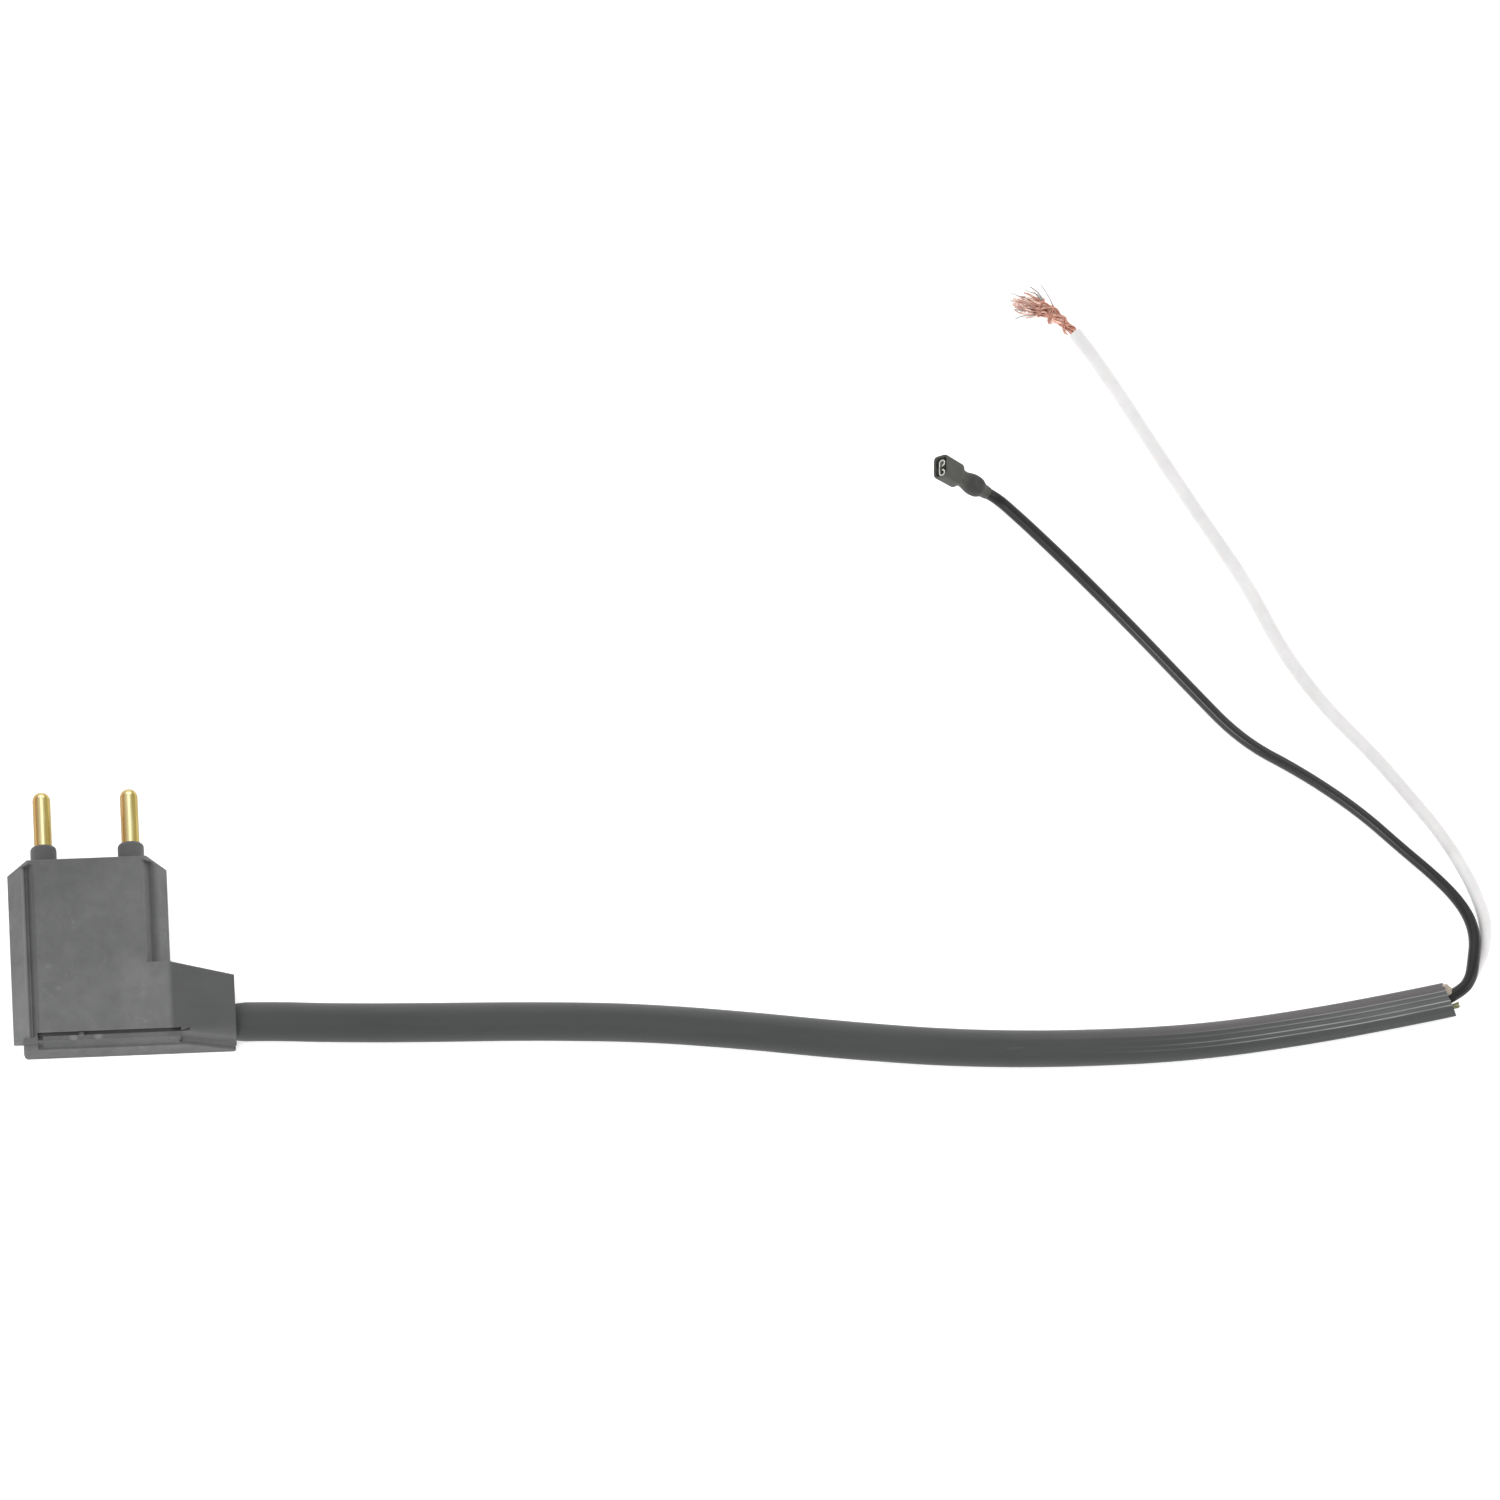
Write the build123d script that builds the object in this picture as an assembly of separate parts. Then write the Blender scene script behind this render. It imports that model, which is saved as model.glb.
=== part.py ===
from build123d import *
import os
import math

# ---------------------------------------------------------------- dimensions
# All in millimetres.  Plug coordinates first run from the plug's left ridge (x),
# its back end (y) and the surface that it lies on (z); SHIFT then moves the
# middle of the plug's footprint to the origin.
BODY_W = 35.3          # plug body across its two side ridges
BODY_T = 13.5          # plug body thickness
BODY_L = 40.5          # plug body, back end to pin face
BEVEL = 4.7            # how far the flat panels stand in from the side ridges
FRONT_SET = 1.5        # how far the side ridges draw back at the pin face
MID = BODY_T / 2       # height of the pins and of the side ridges
RIDGE_R = 0.6          # rounding of the side ridges
RIDGE_IN = RIDGE_R * (math.hypot(BEVEL, MID) / MID - 1)   # what it takes off the width

# soft groove along each long edge of the top panel, from the side ridge inwards
GROOVE_RIM = 3.3       # where the bevel turns down into it
GROOVE_LOW = (4.45, 10.8)  # its bottom, across and up
GROOVE_TOP = 5.5       # where it comes up to the panel
FRONT_WALL = 1.0       # the groove stops this far short of the pin face

PIN_D = 4.0
PIN_L = 17.7           # pin face to pin tip
PIN_PITCH = 19.2
PIN_CX = 17.9
COLLAR_D = 5.8
COLLAR_L = 5.0
SHANK_D = 4.4          # thicker shank held in the front wall and collar
SHANK_IN = 7.5         # front wall thickness
LUG = 6.2              # square terminal end of each pin
LUG_L = 8.5

BLOCK_X = 49.0         # right end of the cord-exit block
BLOCK_Y0 = 15.8        # block depth where it leaves the body
BLOCK_Y1 = 13.4        # block depth at its end
BLOCK_Z1 = 10.6        # block height at its end
BLOCK_R = 4.4          # rounding of the block's rear top edge at its end

SHEATH_D = 8.0
EXIT_Y = 4.25          # cord axis at the exit
EXIT_Z = 4.25
SHEATH_IN = 38.0       # where the sheath ends inside the block

BLACK_D = 2.35
WHITE_D = 2.8

COVER_T = 1.2          # rear cover flange thickness
GAP_Z0, GAP_Z1 = 11.2, 13.1    # open gap above the tongue
GAP_DEPTH = 1.5
ROOF_Y = 0.5           # the panel's edge above the gap
TONGUE_Z = 12.2        # top of the tongue
FLANGE_Z = 6.2         # top of the rear cover flange at its outer face
TONGUE_X = (6.6, 36.9) # ends of the tongue

SHIFT = (-(BLOCK_X + RIDGE_IN) / 2, -(BODY_L + PIN_L - COVER_T) / 2, 0.0)

# Cord routes, in plug coordinates.
SHEATH_PTS = [
    (SHEATH_IN, EXIT_Y, EXIT_Z), (54.0, EXIT_Y, EXIT_Z), (71.5, 3.0, 4.2), (91.5, 2.3, 4.1),
    (114.0, 1.7, 4.05), (137.5, 0.38, 4.05), (160.0, -2.32, 4.05), (183.0, -5.72, 4.05),
    (207.5, -8.62, 4.05), (233.0, -9.77, 4.05), (259.0, -9.47, 4.05), (282.9, -6.97, 4.05),
    (302.3, -4.07, 4.05), (315.15, -1.81, 4.05),
]
BLACK_PTS = [
    (315.0, -1.9, 5.05), (318.07, -0.38, 5.15), (320.2, 2.8, 5.0), (320.9, 7.12, 4.5),
    (321.54, 11.96, 3.7), (320.55, 17.32, 2.8), (317.66, 22.61, 2.0), (313.04, 28.07, 1.5),
    (306.31, 34.63, 1.3), (297.34, 43.73, 1.3), (285.4, 53.01, 1.3), (272.36, 61.02, 1.3),
    (261.35, 74.05, 1.3), (249.61, 88.25, 1.3), (237.56, 102.16, 1.3), (228.37, 112.27, 1.3),
    (221.48, 119.39, 1.365), (214.96, 122.08, 5.94),
]
WHITE_PTS = [
    (315.19, -0.79, 2.4), (317.85, 0.58, 2.3), (319.9, 3.29, 2.05), (321.85, 6.68, 1.8),
    (323.5, 11.0, 1.6), (324.1, 16.43, 1.5), (322.56, 22.57, 1.45), (319.47, 29.86, 1.45),
    (314.65, 38.34, 1.45), (308.5, 46.72, 1.45), (301.14, 56.52, 1.45), (290.84, 68.19, 1.45),
    (282.22, 81.38, 1.45), (275.34, 97.15, 1.45), (265.03, 114.35, 1.45), (254.59, 132.88, 1.45),
    (245.45, 149.3, 1.45), (240.0, 157.4, 1.6),
]
CUT_N = (0.9377, 0.3235, 0.126)      # normal of the sheath's slanted cut end
TAIL = (219.15, 120.35, 3.0)         # tail of the terminal's sleeve
TAIL_DIR = (-0.7753, 0.3203, 0.5443) # way the terminal's mouth points
ROLL = 18.0                          # turn of the terminal about its own axis
TERM_L = 14.3                        # terminal sleeve, tail to the longest side of its mouth


def V(p):
    return Vector(*p)


def put(shape):
    """Move a piece from plug coordinates to the part's own frame."""
    return Pos(*SHIFT) * shape


def tube(points, dia, name):
    """Round tube along straight runs joined by arcs as large as the runs allow."""
    pts = [V(p) for p in points]
    radii = []
    for a, b, c in zip(pts, pts[1:], pts[2:]):
        turn = math.radians((b - a).get_angle(c - b))
        short = min((b - a).length, (c - b).length)
        radii.append(0.45 * short / math.tan(turn / 2))
    path = FilletPolyline(*pts, radius=radii)
    plane = Plane(origin=pts[0], z_dir=(pts[1] - pts[0]).normalized())
    solid = sweep(plane * Circle(dia / 2), path=path)
    want = math.pi * dia * dia / 4 * path.length
    print(f"{name}: length {path.length:.1f}, least radius {min(radii):.1f} "
          f"({min(radii) / dia:.1f} diameters), volume {solid.volume:.1f} of {want:.1f}")
    return solid, path.length


def section(x, y0, y1, z0, z1, bs, bn, tn, ts):
    """Closed outline across X with its own radius at each of the four corners."""
    k = 1 - math.sqrt(0.5)

    def arc(a, m, b):
        return Edge.make_three_point_arc(Vector(x, *a), Vector(x, *m), Vector(x, *b))

    def line(a, b):
        return Edge.make_line(Vector(x, *a), Vector(x, *b))

    edges = [
        line((y0 + bs, z0), (y1 - bn, z0)),
        arc((y1 - bn, z0), (y1 - bn * k, z0 + bn * k), (y1, z0 + bn)),
        line((y1, z0 + bn), (y1, z1 - tn)),
        arc((y1, z1 - tn), (y1 - tn * k, z1 - tn * k), (y1 - tn, z1)),
        line((y1 - tn, z1), (y0 + ts, z1)),
        arc((y0 + ts, z1), (y0 + ts * k, z1 - ts * k), (y0, z1 - ts)),
        line((y0, z1 - ts), (y0, z0 + bs)),
        arc((y0, z0 + bs), (y0 + bs * k, z0 + bs * k), (y0 + bs, z0)),
    ]
    return Wire(edges)


def prism_y(pts, y0, y1):
    """Prism of an outline in X and Z, from y0 to y1."""
    face = make_face(Polyline(*[(x, y0, z) for x, z in pts], close=True))
    return extrude(face, amount=y1 - y0, dir=(0, 1, 0))


def box(x0, x1, y0, y1, z0, z1):
    return Pos((x0 + x1) / 2, (y0 + y1) / 2, (z0 + z1) / 2) * Box(x1 - x0, y1 - y0, z1 - z0)


def cyl_y(x, z, r, y0, y1):
    return Pos(x, (y0 + y1) / 2, z) * Rot(90, 0, 0) * Cylinder(r, y1 - y0)


def cyl_x(y, z, r, x0, x1):
    return Pos((x0 + x1) / 2, y, z) * Rot(0, 90, 0) * Cylinder(r, x1 - x0)


PIN_X = (PIN_CX - PIN_PITCH / 2, PIN_CX + PIN_PITCH / 2)

# ---------------------------------------------------------------- plug shell
def body_prism(grooved, y0, y1):
    """Body from y0 to y1, six-sided, with or without the two grooves, its long edges rounded."""
    slope = (BODY_T - MID) / BEVEL
    rim = (GROOVE_RIM, MID + slope * GROOVE_RIM)
    left = [(BEVEL, 0), (0, MID)] + ([rim, GROOVE_LOW, (GROOVE_TOP, BODY_T)] if grooved else [(BEVEL, BODY_T)])
    pts = left + [(BODY_W - x, z) for x, z in reversed(left)]
    solid = prism_y(pts, y0, y1)

    def rounded(solid, spots, r):
        both = spots + [(BODY_W - x, z) for x, z in spots]
        edges = [e for e in solid.edges().filter_by(Axis.Y)
                 if any(abs(e.center().X - x) < 0.02 and abs(e.center().Z - z) < 0.02 for x, z in both)]
        return fillet(edges, r)

    solid = rounded(solid, [(0, MID), (BEVEL, 0)], RIDGE_R)
    if grooved:
        solid = rounded(solid, [rim], 0.8)
        solid = rounded(solid, [GROOVE_LOW], 0.35)
        solid = rounded(solid, [(GROOVE_TOP, BODY_T)], 0.5)
    else:
        top = [e for e in solid.edges().filter_by(Axis.X)
               if abs(e.center().Y - y1) < 0.01 and abs(e.center().Z - BODY_T) < 0.01]
        solid = fillet(top, 0.35)
    return solid


shell = body_prism(True, 0, BODY_L - FRONT_WALL) + body_prism(False, BODY_L - FRONT_WALL, BODY_L)
for x0, s in ((0, 1), (BODY_W, -1)):
    cut = make_face(Polyline((x0 - s, BODY_L + 0.4, -1), (x0 + s * BEVEL, BODY_L + 0.01, -1),
                             (x0, BODY_L - FRONT_SET, -1),
                             (x0 - s, BODY_L - FRONT_SET - 0.4, -1), close=True))
    shell -= extrude(cut, amount=BODY_T + 2, dir=(0, 0, 1))

# cord-exit block, sloping down and narrowing towards the cord
root = box(BODY_W - 8, BODY_W, 0, BLOCK_Y0, 0, BODY_T)
nose = Solid.make_loft([
    section(BODY_W, 0, BLOCK_Y0, 0, BODY_T, 0.5, 0.5, 0.5, 0.5),
    section(BLOCK_X, 0, BLOCK_Y1, 0, BLOCK_Z1, 0.9, 0.9, 1.2, BLOCK_R),
], ruled=True)
shell = shell + root + Part(nose.wrapped)

# pin collars
for px in PIN_X:
    collar = cyl_y(px, MID, COLLAR_D / 2, BODY_L - 1, BODY_L + COLLAR_L)
    collar = fillet(collar.edges().filter_by(GeomType.CIRCLE).sort_by(Axis.Y)[-1], 0.9)
    shell += collar

# wiring space, open at the back under the rear cover
shell -= box(7.2, 36.0, -1, 2.5, 2.0, 11.0)
shell -= prism_y([(5.2, 3.2), (6.4, 2.0), (29.6, 2.0), (30.8, 3.2),
                  (30.8, 10.2), (29.6, 11.4), (6.4, 11.4), (5.2, 10.2)], 2.0, BODY_L - SHANK_IN)
shell -= box(29.0, 43.4, 1.15, 11.4, 1.6, 9.7)
shell -= cyl_x(EXIT_Y, EXIT_Z, SHEATH_D / 2, SHEATH_IN - 0.5, BLOCK_X + 1)
# gap above the rear cover's tongue
shell -= box(5.4, TONGUE_X[1], -1, GAP_DEPTH, GAP_Z0, GAP_Z1)
shell -= box(5.4, TONGUE_X[1], -1, ROOF_Y, GAP_Z1 - 0.1, BODY_T + 1)
shell -= box(TONGUE_X[1] - 0.1, 38.8, -1, 1.2, 11.9, 12.5)       # the gap runs out to the right
shell -= box(5.6, TONGUE_X[0] + 0.1, -1, 0.6, 10.4, TONGUE_Z)     # notch at the tongue's left end
# the side ridge overhangs the cover's left end
shell -= box(-1, 2.35, -1, 1.15, -1, 6.2)
# pin bores
for px in PIN_X:
    shell -= cyl_y(px, MID, SHANK_D / 2, BODY_L - SHANK_IN - 1, BODY_L + COLLAR_L + 1)

# ---------------------------------------------------------------- rear cover
FACE = [(3.1, 0.05), (2.5, 0.45), (2.3, 1.2), (2.3, FLANGE_Z), (38.2, FLANGE_Z),
        (48.0, 1.5), (48.75, 0.95), (48.45, 0.05)]
FOOT = [(3.1, 0.05), (2.5, 0.45), (2.3, 1.2), (2.3, FLANGE_Z + 1.4), (38.8, FLANGE_Z + 1.4),
        (48.5, 2.9), (48.85, 1.6), (48.6, 0.05)]
flange = Solid.make_loft([Wire(Polyline(*[(x, -COVER_T, z) for x, z in FACE], close=True).edges()),
                          Wire(Polyline(*[(x, 0, z) for x, z in FOOT], close=True).edges())], ruled=True)
cover = Part(flange.wrapped)
# ear at the left end, leaning back towards the shell
ear = make_face(Polyline((2.3, 0, 5.0), (2.3, -COVER_T, 5.0), (2.3, -COVER_T, FLANGE_Z), (2.3, -0.85, 8.6),
                         (2.3, -0.5, 10.0), (2.3, 0, 11.4), close=True))
cover += extrude(ear, amount=3.2, dir=(1, 0, 0))
corner = box(2.2, 3.2, -COVER_T - 0.1, -0.3, -0.5, 12.0)       # rounded left end
corner -= Pos(3.2, -0.3, 5.5) * Cylinder(0.9, 14)
cover -= corner
# tongue, leaning back and chamfered along its top
lip = make_face(Polyline((0, 0, 5.0), (0, -0.95, 5.0), (0, -0.9, 7.2), (0, -0.72, 11.2), (0, -0.1, TONGUE_Z),
                         (0, 0, TONGUE_Z), close=True))
cover += Pos(TONGUE_X[0], 0, 0) * extrude(lip, amount=TONGUE_X[1] - TONGUE_X[0], dir=(1, 0, 0))
cover += box(5.4, TONGUE_X[0] + 0.1, -0.4, 0, 5.0, 10.4)     # web between the ear and the tongue
slant = make_face(Polyline((36.0, -1.3, 7.4), (37.2, -1.3, 7.4), (37.2, 0.05, 7.4), close=True))
cover -= extrude(slant, amount=6, dir=(0, 0, 1))             # slanted right end of the tongue
cover += box(7.3, 35.9, -0.3, 1.1, 2.1, 10.9)                # spigot in the opening
cover += box(14.5, 15.6, -0.3, 0.3, TONGUE_Z - 0.6, GAP_Z1 - 0.1)     # pry nub in the gap

# ---------------------------------------------------------------- pins and screws
pins, screws = [], []
lug_y1 = BODY_L - SHANK_IN
lug_y0 = lug_y1 - LUG_L
for px in PIN_X:
    p = cyl_y(px, MID, PIN_D / 2, BODY_L, BODY_L + PIN_L - PIN_D / 2)
    p += Pos(px, BODY_L + PIN_L - PIN_D / 2, MID) * Sphere(PIN_D / 2)
    p += cyl_y(px, MID, SHANK_D / 2, lug_y1 - 1, BODY_L + COLLAR_L)
    p += box(px - LUG / 2, px + LUG / 2, lug_y0, lug_y1, MID - LUG / 2, MID + LUG / 2)
    p -= cyl_y(px, MID - 0.6, WHITE_D / 2 + 0.05, lug_y0 - 1, lug_y0 + 6.0)    # wire hole
    p -= Pos(px, lug_y0 + 3.2, MID + LUG / 2 - 0.75) * Cylinder(1.5, 3.5)     # screw hole
    pins.append(p)
    s = Pos(px, lug_y0 + 3.2, MID + LUG / 2 - 0.65) * Cylinder(1.5, 1.3)
    head = Pos(px, lug_y0 + 3.2, MID + LUG / 2 + 0.6) * Cylinder(2.3, 1.2)
    head -= Pos(px, lug_y0 + 3.2, MID + LUG / 2 + 1.0) * Box(5, 0.7, 0.8)
    screws.append(s + head)

# ---------------------------------------------------------------- cord grip and core tails
grip = box(37.0, 41.5, EXIT_Y + 1.5, 11.3, 1.75, 9.6)
grip -= cyl_x(EXIT_Y, EXIT_Z, SHEATH_D / 2, 36, 43)

tail_black, _ = tube([(SHEATH_IN, EXIT_Y + 1.6, EXIT_Z), (33.0, EXIT_Y + 2.2, EXIT_Z + 0.2),
                      (28.8, 10.2, 5.7), (27.5, 15.5, MID - 0.6),
                      (PIN_X[1], 21.0, MID - 0.65), (PIN_X[1], lug_y0 + 5.6, MID - 0.6)],
                     BLACK_D, "black_core_tail")
tail_white, _ = tube([(SHEATH_IN, EXIT_Y - 1.4, EXIT_Z), (32.0, EXIT_Y - 1.2, EXIT_Z),
                      (24.0, 4.6, 5.4), (16.5, 6.6, 5.8), (10.8, 11.0, 6.0),
                      (PIN_X[0], 17.5, MID - 0.6), (PIN_X[0], lug_y0 + 5.6, MID - 0.6)],
                     WHITE_D, "white_core_tail")

# ---------------------------------------------------------------- sheath


def back(p, q, by):
    """Start point moved back along the first run."""
    d = (V(p) - V(q)).normalized()
    r = V(p) + d * by
    return (r.X, r.Y, r.Z)


run, run_len = tube(SHEATH_PTS[:-1] + [(318.2, -1.28, 4.05)], SHEATH_D, "sheath")
cut_plane = Plane(origin=SHEATH_PTS[-1], z_dir=CUT_N)
past = cut_plane.location * (Pos(0, 0, 10) * Box(40, 40, 20))
sheath = run - past
inner = cyl_x(EXIT_Y, EXIT_Z, SHEATH_D / 2, SHEATH_IN, SHEATH_IN + 6)
tail_black -= inner
tail_white -= inner

# ---------------------------------------------------------------- leads, fillers, strands
black, _ = tube([back(BLACK_PTS[0], BLACK_PTS[1], 1.2)] + BLACK_PTS[1:], BLACK_D, "black_lead")
black -= sheath
white, _ = tube([back(WHITE_PTS[0], WHITE_PTS[1], 1.2)] + WHITE_PTS[1:], WHITE_D, "white_lead")
white -= sheath


def stub(y, z, length, wide, thick, turn):
    """Short end of a filler standing out of the cut face."""
    n, o = V(CUT_N), V(SHEATH_PTS[-1])
    x = o.X - ((y - o.Y) * n.Y + (z - o.Z) * n.Z) / n.X
    pl = Plane(origin=(x, y, z), x_dir=(-0.346, 0.888, 0.3), z_dir=n)
    return pl.location * (Rot(0, 0, turn) * extrude(Ellipse(wide / 2, thick / 2), amount=length))


beige = stub(-0.62, 6.05, 1.4, 2.4, 1.2, 35.0)
green = stub(-3.6, 4.9, 1.9, 1.5, 1.4, 0.0)
beige -= black
green -= black

strands = loft([
    Plane(origin=(240.0, 157.4, 1.6), x_dir=(0.8297, 0.5582, 0), z_dir=(-0.5582, 0.8296, 0.0154)) * Circle(0.85),
    Plane(origin=(236.75, 160.6, 1.6), x_dir=(0.71, 0.704, 0), z_dir=(-0.704, 0.71, 0)) * Ellipse(1.25, 1.0),
    Plane(origin=(233.4, 163.2, 1.6), x_dir=(0.62, 0.785, 0), z_dir=(-0.785, 0.62, 0)) * Ellipse(2.3, 1.25),
    Plane(origin=(228.4, 165.3, 1.6), x_dir=(0.36, 0.933, 0), z_dir=(-0.933, 0.36, 0)) * Ellipse(2.0, 1.1),
])
strands -= white

# ---------------------------------------------------------------- blade receptacle and its sleeve
# Built along +X with the tail at 0 and the mouth at TERM_L, then placed.
term = Plane(origin=TAIL, x_dir=TAIL_DIR, z_dir=V((0, 0, 1)) - V(TAIL_DIR) * TAIL_DIR[2])
spin = Rot(ROLL, 0, 0)
prof = [(0, 0), (0, 1.45), (1.6, 1.55), (2.4, 2.05), (3.4, 2.35), (4.8, 2.35), (5.9, 2.1),
        (6.9, 1.75), (8.4, 1.75), (8.4, 0)]
outer = revolve(make_face(Polyline(*[(x, r, 0) for x, r in prof], close=True)), axis=Axis.X)
head = Pos((7.9 + TERM_L) / 2, 0, 0) * Box(TERM_L - 7.9, 5.0, 3.5)
head = fillet(head.edges().filter_by(Axis.X), 0.7)
head = fillet(head.faces().sort_by(Axis.X)[0].edges(), 0.6)
sleeve = outer + head
sleeve -= Pos(1.2, 0, 0) * Rot(0, 90, 0) * Cylinder(BLACK_D / 2 + 0.03, 2.6)
sleeve -= Pos(4.1, 0, 0) * Rot(0, 90, 0) * Cylinder(1.6, 3.3)
sleeve -= Pos(7.25, 0, 0) * Rot(0, 90, 0) * Cylinder(1.22, 3.7)
mouth = Pos((8.8 + TERM_L) / 2 + 0.5, 0, 0) * Box(TERM_L - 8.8 + 1, 4.2, 2.7)
sleeve -= fillet(mouth.edges().filter_by(Axis.X), 0.35)
# the mouth is cut askew, longest at its upper far corner
askew = Plane(origin=(TERM_L, -2.5, -1.75), z_dir=(1, 0.21, 0.3))
sleeve -= askew.location * (Pos(0, 0, 5) * Box(30, 30, 10))

barrel = Pos(4.1, 0, 0) * Rot(0, 90, 0) * Cylinder(1.56, 3.0)
barrel -= Pos(4.1, 0, 0) * Rot(0, 90, 0) * Cylinder(BLACK_D / 2 + 0.02, 4.0)
recept = barrel + box(5.48, 5.6, -0.5, 0.5, -1.45, -0.75) + box(5.48, 9.2, -0.5, 0.5, -1.05, -0.75)
recept += box(9.0, TERM_L, -1.15, 1.15, -1.0, -0.75)
for s in (1, -1):
    along = (9.0 + TERM_L) / 2
    curl = Pos(along, s * 1.15, -0.2) * Rot(0, 90, 0) * Cylinder(0.82, TERM_L - 9.0)
    curl -= Pos(along, s * 1.15, -0.2) * Rot(0, 90, 0) * Cylinder(0.5, TERM_L)
    curl -= box(8.5, TERM_L + 1, min(0, s * 1.15), max(0, s * 1.15), -0.7, -0.2)
    recept += curl
recept -= askew.location * (Pos(0, 0, 4.4) * Box(30, 30, 10))

sleeve = term.location * (spin * sleeve)
recept = term.location * (spin * recept)

# ---------------------------------------------------------------- write the pieces
NODES = {
    "plug_shell": shell,
    "rear_cover": cover,
    "pin_left": pins[0],
    "pin_right": pins[1],
    "terminal_screws": Compound(children=[s for s in screws]),
    "cord_grip": grip,
    "black_core_tail": tail_black,
    "white_core_tail": tail_white,
    "sheath": sheath,
    "black_lead": black,
    "white_lead": white,
    "beige_filler": beige,
    "green_filler": green,
    "copper_strands": strands,
    "terminal_sleeve": sleeve,
    "receptacle": recept,
}
os.makedirs("parts", exist_ok=True)
for name, shape in NODES.items():
    export_step(put(shape), f"parts/{name}.step")
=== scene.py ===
import bpy
import math
import random
from mathutils import Matrix, Vector, noise


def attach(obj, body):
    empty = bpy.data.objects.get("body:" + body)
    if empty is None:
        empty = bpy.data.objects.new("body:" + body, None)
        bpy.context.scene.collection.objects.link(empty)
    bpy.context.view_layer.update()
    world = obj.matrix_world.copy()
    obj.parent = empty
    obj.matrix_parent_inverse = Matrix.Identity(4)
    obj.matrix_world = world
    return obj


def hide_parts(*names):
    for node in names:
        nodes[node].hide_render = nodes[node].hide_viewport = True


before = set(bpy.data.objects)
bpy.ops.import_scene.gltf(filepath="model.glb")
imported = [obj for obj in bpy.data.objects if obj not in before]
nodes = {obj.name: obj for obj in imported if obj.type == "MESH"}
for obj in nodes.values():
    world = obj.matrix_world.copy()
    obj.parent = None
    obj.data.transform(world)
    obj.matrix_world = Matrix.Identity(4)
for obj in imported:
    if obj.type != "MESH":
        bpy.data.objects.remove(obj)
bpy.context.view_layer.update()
scene = bpy.context.scene
scene.view_settings.view_transform = "Standard"
scene.view_settings.look = "None"

# ------------------------------------------------------------------ frame
# Plug coordinates in millimetres (left ridge, back end, resting surface) to the
# part's frame in metres.


def P(x, y, z):
    return Vector(((x - 24.56556) * 0.001, (y - 28.5) * 0.001, z * 0.001))


def smooth(a, b, x):
    t = min(1.0, max(0.0, (x - a) / (b - a)))
    return t * t * (3 - 2 * t)


def link(ob):
    scene.collection.objects.link(ob)
    return ob


# ------------------------------------------------------------------ camera
PHI, TILT = math.radians(2.42), math.radians(19.0)
WIDTH, DIST = 0.32967, 12.0
right = Vector((math.cos(PHI), -math.sin(PHI), 0))
north = Vector((math.sin(PHI), math.cos(PHI), 0))
upward = Vector((0, 0, 1))
up = north * math.cos(TILT) + upward * math.sin(TILT)
back = upward * math.cos(TILT) - north * math.sin(TILT)
target = P(164.38, 63.91, 0)
cam_data = bpy.data.cameras.new("camera")
cam_data.type = "PERSP"
cam_data.sensor_width = 36.0
cam_data.lens = 36.0 * DIST / WIDTH
cam_data.clip_start, cam_data.clip_end = 0.1, 60.0
cam = link(bpy.data.objects.new("camera", cam_data))
rot = Matrix((right, up, back)).transposed().to_4x4()
cam.matrix_world = Matrix.Translation(target + back * DIST) @ rot
scene.camera = cam

# ------------------------------------------------------------------ light
world = bpy.data.worlds.new("studio")
scene.world = world
world.use_nodes = True
bg = world.node_tree.nodes["Background"]
bg.inputs["Color"].default_value = (1.0, 1.0, 1.0, 1.0)
bg.inputs["Strength"].default_value = 0.7


def softbox(name, at, aim, size, power):
    data = bpy.data.lights.new(name, "AREA")
    data.shape = "RECTANGLE"
    data.size, data.size_y = size
    data.energy = power
    ob = link(bpy.data.objects.new(name, data))
    ob.location = at
    ob.rotation_euler = (Vector(aim) - Vector(at)).to_track_quat("-Z", "Y").to_euler()
    return ob


MIDDLE = target
softbox("left_box", MIDDLE + Vector((-1.0, -0.4, 1.45)), MIDDLE, (0.7, 0.7), 6.6)
softbox("low_left_box", MIDDLE + Vector((-1.6, -0.1, 0.6)), MIDDLE, (1.1, 0.9), 0.8)
softbox("right_box", MIDDLE + Vector((1.5, -0.2, 0.75)), MIDDLE, (1.1, 1.1), 6.2)
softbox("north_box", MIDDLE + Vector((0, 1.5, 1.15)), MIDDLE, (2.2, 0.8), 8.4)
softbox("front_box", MIDDLE + Vector((0.1, -1.6, 0.7)), MIDDLE, (2.0, 0.8), 3.2)
softbox("low_front_box", MIDDLE + Vector((-1.265, -0.96, 0.47)), MIDDLE + Vector((0.1, 0.04, 0)), (1.3, 0.9), 4.4)
softbox("top_box", MIDDLE + Vector((-0.145, 0.62, 1.8)), MIDDLE + Vector((-0.145, 0, 0)), (0.8, 0.6), 1.15)

# ------------------------------------------------------------------ materials


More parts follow.
